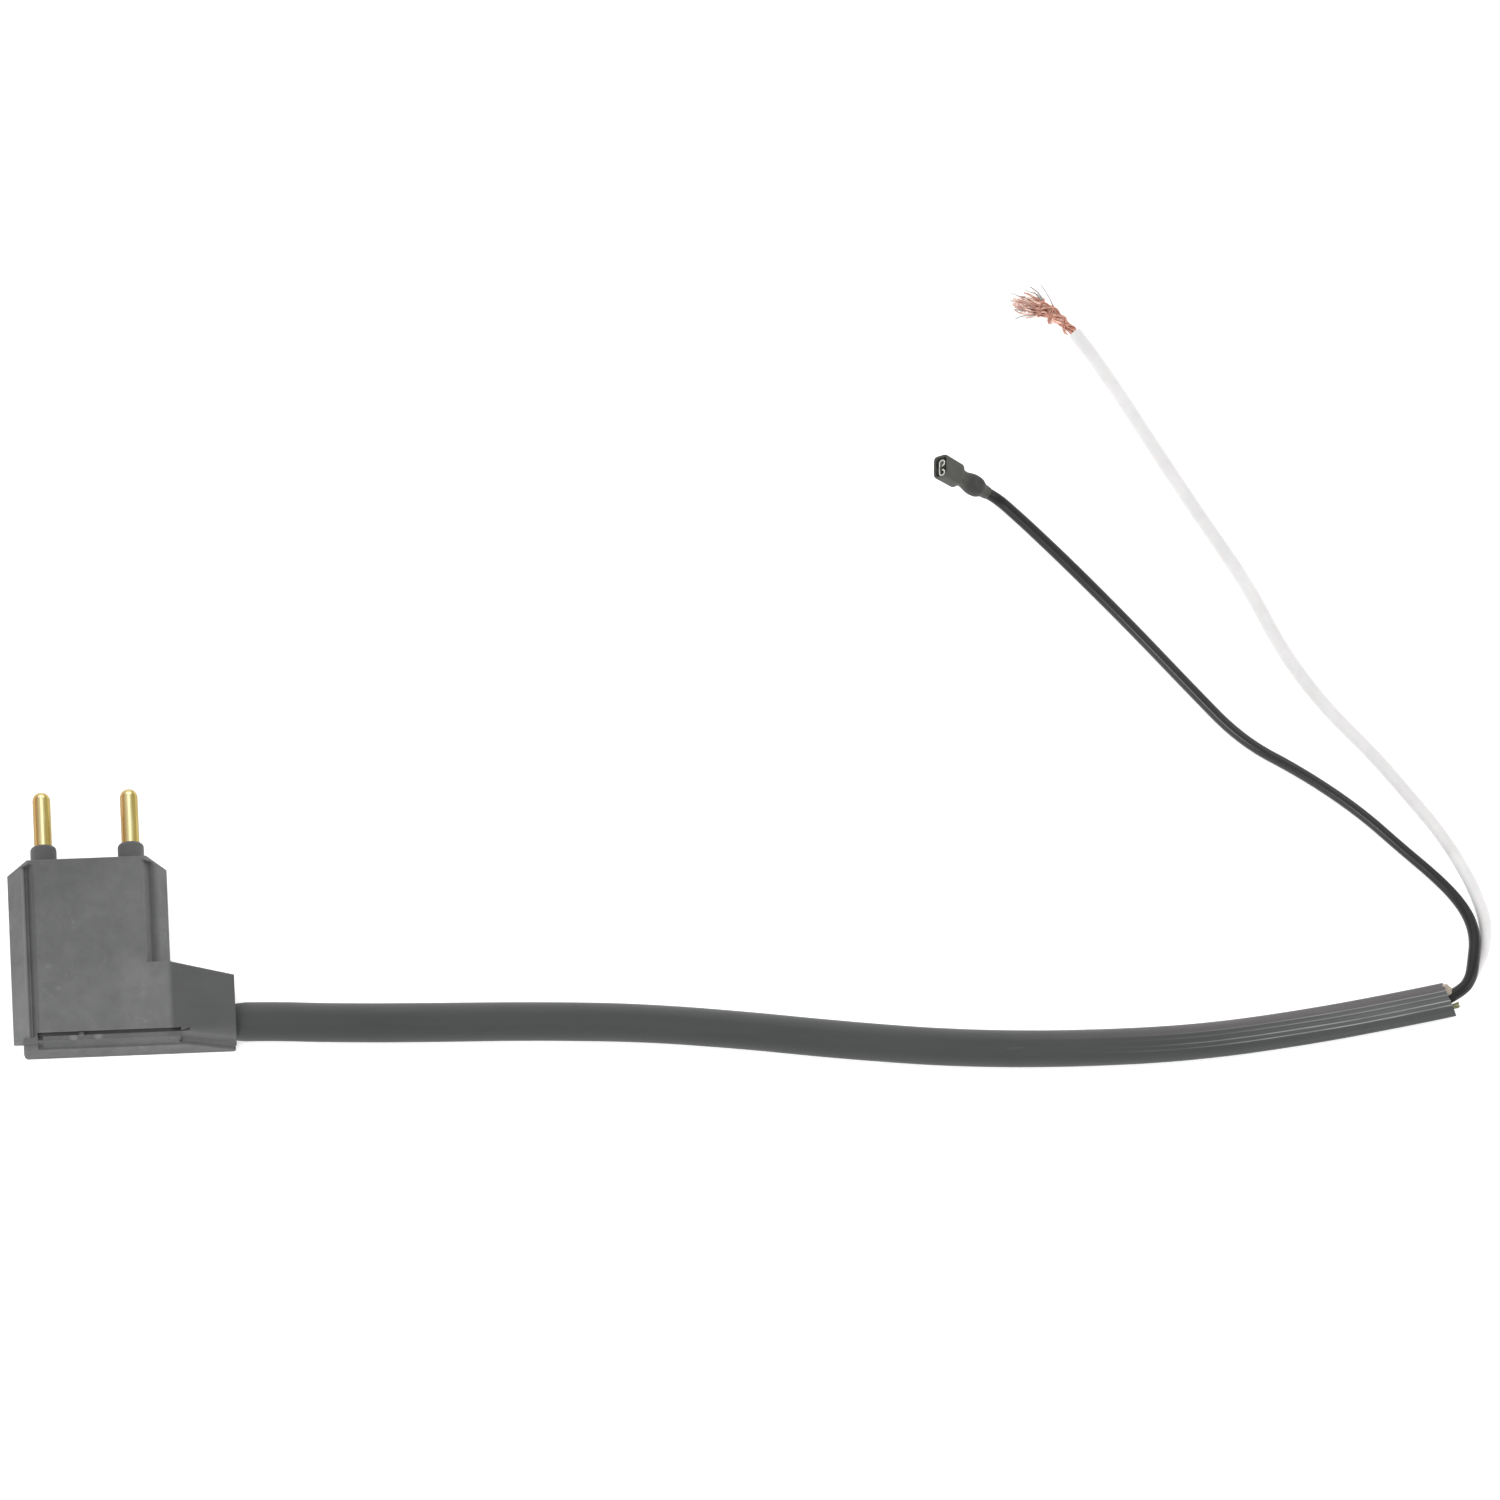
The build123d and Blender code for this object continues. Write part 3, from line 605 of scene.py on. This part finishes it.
def sheath_piece():
    path = line_of(SHEATH, 16)
    dist = along(path)
    total = dist[-1]
    start = 0.0111
    rings = []
    cut = Vector((0.9377, 0.3235, 0.126)).normalized()
    end = path[-1]
    for (p, t, s, u), d in zip(frames(path), dist):
        f = d / total
        wide = 3.96 + 0.38 * smooth(start, start + 0.0012, d) - 0.18 * smooth(0.12, 0.55, f) \
            - 0.24 * smooth(0.5, 0.9, f)
        high = min(wide, 4.04)
        amp = smooth(0.7, 0.96, f)
        ring = []
        for j in range(SIDES):
            a = 2 * math.pi * j / SIDES
            deg = math.degrees(a)
            deg = deg - 360 if deg > 180 else deg
            k = 1.0 + amp * (ridge(deg) - 1.0)
            k *= 1.0 + 0.006 * noise.noise(Vector((d * 90, math.cos(a) * 1.3, math.sin(a) * 1.3)))
            q = p + s * (math.sin(a) * wide * k * 0.001) + u * (math.cos(a) * high * k * 0.001)
            q.z = max(q.z, 0.00002)
            ring.append(q)
        rings.append(ring)
    # slanted, slightly ragged cut end with the jacket's wall and a hollow behind it
    p, t, s, u = frames(path)[-1]
    last = []
    for j, q in enumerate(rings[-1]):
        back_by = (q - end).dot(cut) / t.dot(cut)
        wob = 0.00012 * noise.noise(Vector((j * 0.35, 3.1, 0.4)))
        last.append(q - t * (back_by + wob))
    rings[-1] = last
    rings = rings[:-3] + [[q - t * 0.0016 * 1.0 for q in last], [q - t * 0.00018 for q in last], last]
    mid = sum(last, Vector()) / SIDES

    def shrunk(k, by):
        return [mid + (q - mid) * k - t * by for q in last]

    n_out = len(rings)
    far = dist[:n_out - 3] + [total - 0.0016, total - 0.0002, total]
    rings += [shrunk(0.985, -0.00006), shrunk(0.78, -0.00004), shrunk(0.755, 0.0001), shrunk(0.74, 0.0016)]
    # the hollow inside the cut end is painted near-black as shade
    ob = loft("sheath_skin", rings, [mat_sheath, mat_hollow_shade], True, True,
              lambda i: 1 if i >= n_out + 2 else 0, far + [total] * 4)
    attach(ob, "root")
    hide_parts("sheath")
    return ob, path


# near-black painted shade for the insides of hollows: the sheath's cut end and the sleeve's mouth
def core():
    m = Mat("hollow_shade_dark").set(spec=0.1)
    m.color(m.ramp(m.noise(800, 3, 0.6), [(0.3, (0.03, 0.028, 0.026)), (0.7, (0.07, 0.065, 0.06))]))
    m.rough(m.ramp(m.noise(600, 2, 0.6), [(0.3, 0.8), (0.75, 0.95)]))
    m.normal(m.bump(m.noise(2500, 2, 0.6), 0.0001, 0.5))
    return m.m


mat_hollow_shade = core()
sheath, sheath_line = sheath_piece()

# ------------------------------------------------------------------ leads
black = spline("black_lead_wire", [BLACK], 14, 0.001175, 6)
dress(black, mat_black)
white = spline("white_lead_wire", [WHITE], 14, 0.0014, 6)
dress(white, mat_white)


def swell(ob, radius, sizes):
    """The insulation is not even: each route point has its own thickness, and lies on the floor with it."""
    for q, k in zip(ob.data.splines[0].points, sizes):
        q.radius = k
        q.co.z = max(q.co.z, radius * k + 0.00002)


swell(black, 0.001175, (1.16, 1.18, 1.2, 1.2, 1.16, 1.11, 1.06, 1.04, 1.03, 1.06, 1.06, 1.09, 1.09, 1.1,
                        1.12, 1.1, 1.09, 1.09, 1.08, 1.06))
swell(white, 0.0014, (1.0, 1.0, 1.0, 1.0, 1.0, 1.02, 1.03, 1.03, 1.04, 1.06, 1.09, 1.13, 1.15, 1.15, 1.13,
                      1.12, 1.12, 1.12))
for ob, n, slot in ((black, "black_lead", "lead_black"), (white, "white_lead", "lead_white")):
    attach(ob, "root")
    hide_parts(n)

# ------------------------------------------------------------------ copper strands
rng = random.Random(41)
BASE = P(240.0, 157.4, 1.6)
# tips of the frayed groups: place, how many strands, scatter, sideways set at the flare
FRAYED = [((227.7, 166.1), 10, 0.75, (0.35, 0.8)), ((228.7, 165.2), 10, 0.8, (0.2, 0.45)),
          ((229.9, 166.5), 7, 0.7, (0.55, 1.15)), ((227.4, 164.0), 10, 0.8, (-0.15, -0.2)),
          ((228.5, 164.6), 8, 0.9, (0.0, 0.1)), ((229.9, 162.9), 8, 0.7, (-0.5, -0.85)),
          ((231.2, 163.2), 7, 0.6, (-0.55, -1.05)), ((231.4, 165.2), 7, 0.8, (0.25, 0.55))]
# single hairs: guide points in x and y, then thickness
HAIRS = [([(236.4, 161.3), (235.5, 163.7), (234.5, 166.4), (232.9, 169.2)], 0.5),
         ([(235.2, 162.6), (233.4, 165.0), (232.4, 167.2), (230.6, 168.5)], 0.7),
         ([(234.6, 162.8), (233.0, 165.2), (232.0, 166.4), (231.5, 167.4)], 0.6),
         ([(233.0, 163.6), (230.0, 165.2), (228.0, 165.0), (226.0, 165.4)], 0.6),
         ([(232.6, 164.2), (229.6, 166.3), (227.8, 166.4), (226.4, 167.3)], 0.45),
         ([(233.0, 162.6), (230.6, 161.6), (228.6, 161.9), (227.0, 161.2)], 0.6),
         ([(233.2, 163.0), (230.2, 163.4), (228.4, 162.9), (226.8, 163.3)], 0.6),
         ([(234.0, 164.0), (232.6, 166.6), (231.0, 167.0), (229.4, 168.0)], 0.45)]


def strands():
    fwd = Vector((-0.62, 0.785, 0)).normalized()
    side = Vector((fwd.y, -fwd.x, 0))
    routes, kinds, thick = [], [], []

    def near(x, y, o, wide, z=1.45, tall=None):
        return P(x, y, z) + side * (o.x * wide * 0.001) + upward * (o.y * (tall or wide) * 0.001)

    for tip, many, scatter, push in FRAYED:
        for _ in range(many):
            ang, rad = rng.uniform(0, 2 * math.pi), math.sqrt(rng.random())
            o = Vector((math.cos(ang) * rad, math.sin(ang) * rad))
            o1, o2 = Matrix.Rotation(1.5, 2) @ o, Matrix.Rotation(2.7, 2) @ o
            a = BASE - fwd * 0.0025 + side * (o.x * 0.0007) + upward * (o.y * 0.0007)
            b = near(239.85, 157.7, o, 0.9)
            c = near(237.9 + rng.uniform(-0.15, 0.15), 159.6 + rng.uniform(-0.15, 0.15), o1, 1.05, tall=0.9)
            d = near(235.7 + rng.uniform(-0.3, 0.3), 161.55 + rng.uniform(-0.3, 0.3), o2, 1.35, tall=0.95)
            e = P(233.5 + push[0] + rng.uniform(-0.5, 0.5), 163.3 + push[1] + rng.uniform(-0.7, 0.7),
                  rng.uniform(0.5, 2.7))
            t = P(tip[0] + rng.gauss(0, scatter), tip[1] + rng.gauss(0, scatter * 0.7), rng.uniform(0.3, 2.7))
            m1, m2 = e.lerp(t, 0.4), e.lerp(t, 0.75)
            for q in (m1, m2):
                q += Vector((rng.uniform(-0.4, 0.4), rng.uniform(-0.85, 0.85), rng.uniform(-0.5, 0.6))) * 0.001
            routes.append([a, b, c, d, e, m1, m2, t])
            kinds.append(rng.choice((0, 0, 0, 1, 1, 2)))
            thick.append(rng.uniform(0.9, 1.15))
    # short turns thrown across the bundle
    for x, y, lean, wide in ((238.4, 159.2, 1.2, 1.0), (237.8, 159.8, -1.5, 1.25), (236.2, 161.2, 1.6, 1.25),
                             (234.9, 162.3, -1.3, 1.6), (234.0, 163.0, 1.7, 1.85), (232.9, 163.9, -1.0, 1.9)):
        for _ in range(3):
            c = P(x + rng.uniform(-0.3, 0.3), y + rng.uniform(-0.3, 0.3), 1.35)
            turn = []
            for k in range(7):
                a = math.pi * (k / 6 * 1.2 - 0.1)
                turn.append(c + side * (math.cos(a) * wide * 0.001) + upward * (math.sin(a) * 0.0012)
                            + fwd * ((k - 3) * lean * 0.0004 + rng.uniform(-0.2, 0.2) * 0.001))
            routes.append(turn)
            kinds.append(rng.choice((0, 0, 0, 1, 1)))
            thick.append(rng.uniform(0.9, 1.15))
    for pts, t in HAIRS:
        routes.append([P(x, y, z) for (x, y), z in zip(pts, (1.5, 1.8, 2.0, 1.2 + rng.random()))])
        kinds.append(3)
        thick.append(t * 1.6)
    for r in routes:
        for p in r:
            p.z = max(p.z, 0.00016)
    tmp = spline("strand_lines", routes, 5, 0.000135, 1, mat_coppers, kinds, thick)
    me = bpy.data.meshes.new_from_object(tmp)
    cu = tmp.data
    bpy.data.objects.remove(tmp)
    bpy.data.curves.remove(cu)
    me.name = "copper_wires"
    ob = link(bpy.data.objects.new("copper_wires", me))
    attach(ob, "root")
    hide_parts("copper_strands")
    return ob


wires = strands()

# ------------------------------------------------------------------ terminal sleeve
ROLL = math.radians(18)
flat_top = (upward - AXIS * AXIS.z).normalized()
flat_side = flat_top.cross(AXIS).normalized()
SIDE = flat_side * math.cos(ROLL) + flat_top * math.sin(ROLL)
TOP = flat_top * math.cos(ROLL) - flat_side * math.sin(ROLL)


def sleeve_piece():
    # place along the sleeve, half width, half height, squareness
    skin = [(-0.1, 1.2, 1.2, 2.0), (0.0, 1.36, 1.36, 2.0), (0.5, 1.45, 1.44, 2.0), (1.4, 1.53, 1.5, 2.0),
            (1.9, 1.76, 1.7, 2.0), (2.4, 2.06, 2.0, 2.1), (3.0, 2.26, 2.18, 2.1), (3.8, 2.36, 2.26, 2.1),
            (4.6, 2.36, 2.26, 2.1), (5.3, 2.24, 2.14, 2.1), (6.0, 2.02, 1.92, 2.2), (6.7, 1.82, 1.72, 2.3),
            (7.4, 1.8, 1.66, 2.5), (7.9, 2.0, 1.68, 2.9), (8.2, 2.34, 1.72, 3.5), (8.6, 2.48, 1.75, 4.2),
            (9.6, 2.47, 1.74, 4.6), (11.0, 2.47, 1.74, 4.8), (12.8, 2.5, 1.75, 5.0), (14.0, 2.5, 1.75, 5.0),
            (14.25, 2.45, 1.7, 5.0), (14.3, 2.34, 1.59, 5.0), (14.24, 2.18, 1.43, 5.0), (13.9, 2.12, 1.37, 5.0),
            (12.0, 2.11, 1.36, 5.0), (10.0, 2.11, 1.36, 5.0), (8.7, 2.1, 1.35, 5.0)]
    n, rings = 64, []
    for x, hy, hz, e in skin:
        ring = []
        # the head is a little swollen by the receptacle in it
        if x > 8.1:
            hy, hz = hy * 1.07, hz * 1.09
        for j in range(n):
            a = 2 * math.pi * j / n
            c, s = math.cos(a), math.sin(a)
            ry = math.copysign(abs(c) ** (2 / e), c) * hy
            rz = math.copysign(abs(s) ** (2 / e), s) * hz
            # pinch mark of the crimping tool on the bulge
            if 2.2 < x < 5.4 and rz > 0:
                rz -= 0.5 * math.exp(-((x - 3.8) / 0.8) ** 2 - (ry / 0.9) ** 2)
            # the mouth is cut askew
            w = x if x <= 8.7 else 8.7 + (x - 8.7) * (5.6 - 0.21 * (ry + 2.5) - 0.3 * (rz + 1.75)) / 5.6
            ring.append(TAIL + AXIS * (w * 0.001) + SIDE * (ry * 0.001) + TOP * (rz * 0.001))
        rings.append(ring)
    # the inside of the mouth is painted near-black as shade
    ob = loft("sleeve_skin", rings, [mat_sleeve, mat_hollow_shade], True, True, lambda i: 1 if i >= 23 else 0)
    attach(ob, "root")
    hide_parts("terminal_sleeve")
    return ob


sleeve = sleeve_piece()

# ------------------------------------------------------------------ filler stubs


def stub(name, node, mat, root, away, length, radius, seed):
    r = random.Random(seed)
    away = Vector(away).normalized()
    s = upward.cross(away).normalized()
    u = away.cross(s)
    routes = []
    for i in range(22):
        a, k = r.uniform(0, 6.283), math.sqrt(r.random())
        o = s * (math.cos(a) * k * radius) + u * (math.sin(a) * k * radius)
        reach = length * r.uniform(0.7, 1.08)
        fray = o * 0.35 + (s * r.uniform(-1, 1) + u * r.uniform(-1, 1)) * radius * 0.3
        p0 = root + o - away * 0.0012
        routes.append([p0, root + o + away * (reach * 0.45), root + o + fray + away * reach])
    for q in routes:
        for p in q:
            p.z = max(p.z, 0.0003)
    tmp = spline(name + "_lines", routes, 4, radius * 0.26, 1)
    me = bpy.data.meshes.new_from_object(tmp)
    cu = tmp.data
    bpy.data.objects.remove(tmp)
    bpy.data.curves.remove(cu)
    me.name = name
    me.materials.clear()
    me.materials.append(mat)
    ob = link(bpy.data.objects.new(name, me))
    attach(ob, "root")
    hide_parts(node)
    return ob


def wad(name, node, mat, root, along_by, out_by, thick):
    """Flattened wad of filler squeezed out along the cut face."""
    e1 = Vector((-0.346, 0.888, 0.3)).normalized()
    out = Vector((0.9377, 0.3235, 0.126)).normalized()
    e3 = out.cross(e1).normalized()
    rings = []
    for i in range(1, 24):
        t = math.cos(math.pi * i / 24)
        k = math.sqrt(1 - t * t)
        ring = []
        for j in range(32):
            a = 2 * math.pi * j / 32
            lump = 1.0 + 0.28 * noise.noise(Vector((t * 2.1, math.cos(a) * 1.2 + 4.0, math.sin(a) * 1.2)))
            lump += 0.12 * noise.noise(Vector((t * 6.0, math.cos(a) * 3.5, math.sin(a) * 3.5 + 9.0)))
            ring.append(root + e1 * (t * along_by) + (out * (math.cos(a) * out_by)
                        + e3 * (math.sin(a) * thick)) * (k ** 0.8 * lump))
        rings.append(ring)
    ob = loft(name, rings, [mat])
    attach(ob, "root")
    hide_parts(node)
    return ob


beige = wad("beige_yarn", "beige_filler", mat_beige, P(314.5, -0.7, 6.1), 0.00175, 0.00125, 0.00078)
green = stub("green_yarn", "green_filler", mat_green, P(316.1, -3.65, 4.8), (0.92, 0.22, 0.1), 0.0012,
             0.0005, 9)

# ------------------------------------------------------------------ floor
floor_me = bpy.data.meshes.new("floor")
floor_me.from_pydata([(-4, -4, -0.0001), (4, -4, -0.0001), (4, 4, -0.0001), (-4, 4, -0.0001)], [], [(0, 1, 2, 3)])
floor = link(bpy.data.objects.new("floor", floor_me))
fm = Mat("floor_white").set(spec=0.2)
fm.color(fm.ramp(fm.noise(3, 2, 0.5), [(0.3, (0.93, 0.93, 0.93)), (0.7, (0.945, 0.945, 0.945))]))
fm.rough(fm.ramp(fm.noise(5, 2, 0.5), [(0.3, 0.85), (0.7, 0.95)]))
fm.b.inputs["Emission Color"].default_value = (1, 1, 1, 1)
fm.b.inputs["Emission Strength"].default_value = 0.5
floor_me.materials.append(fm.m)
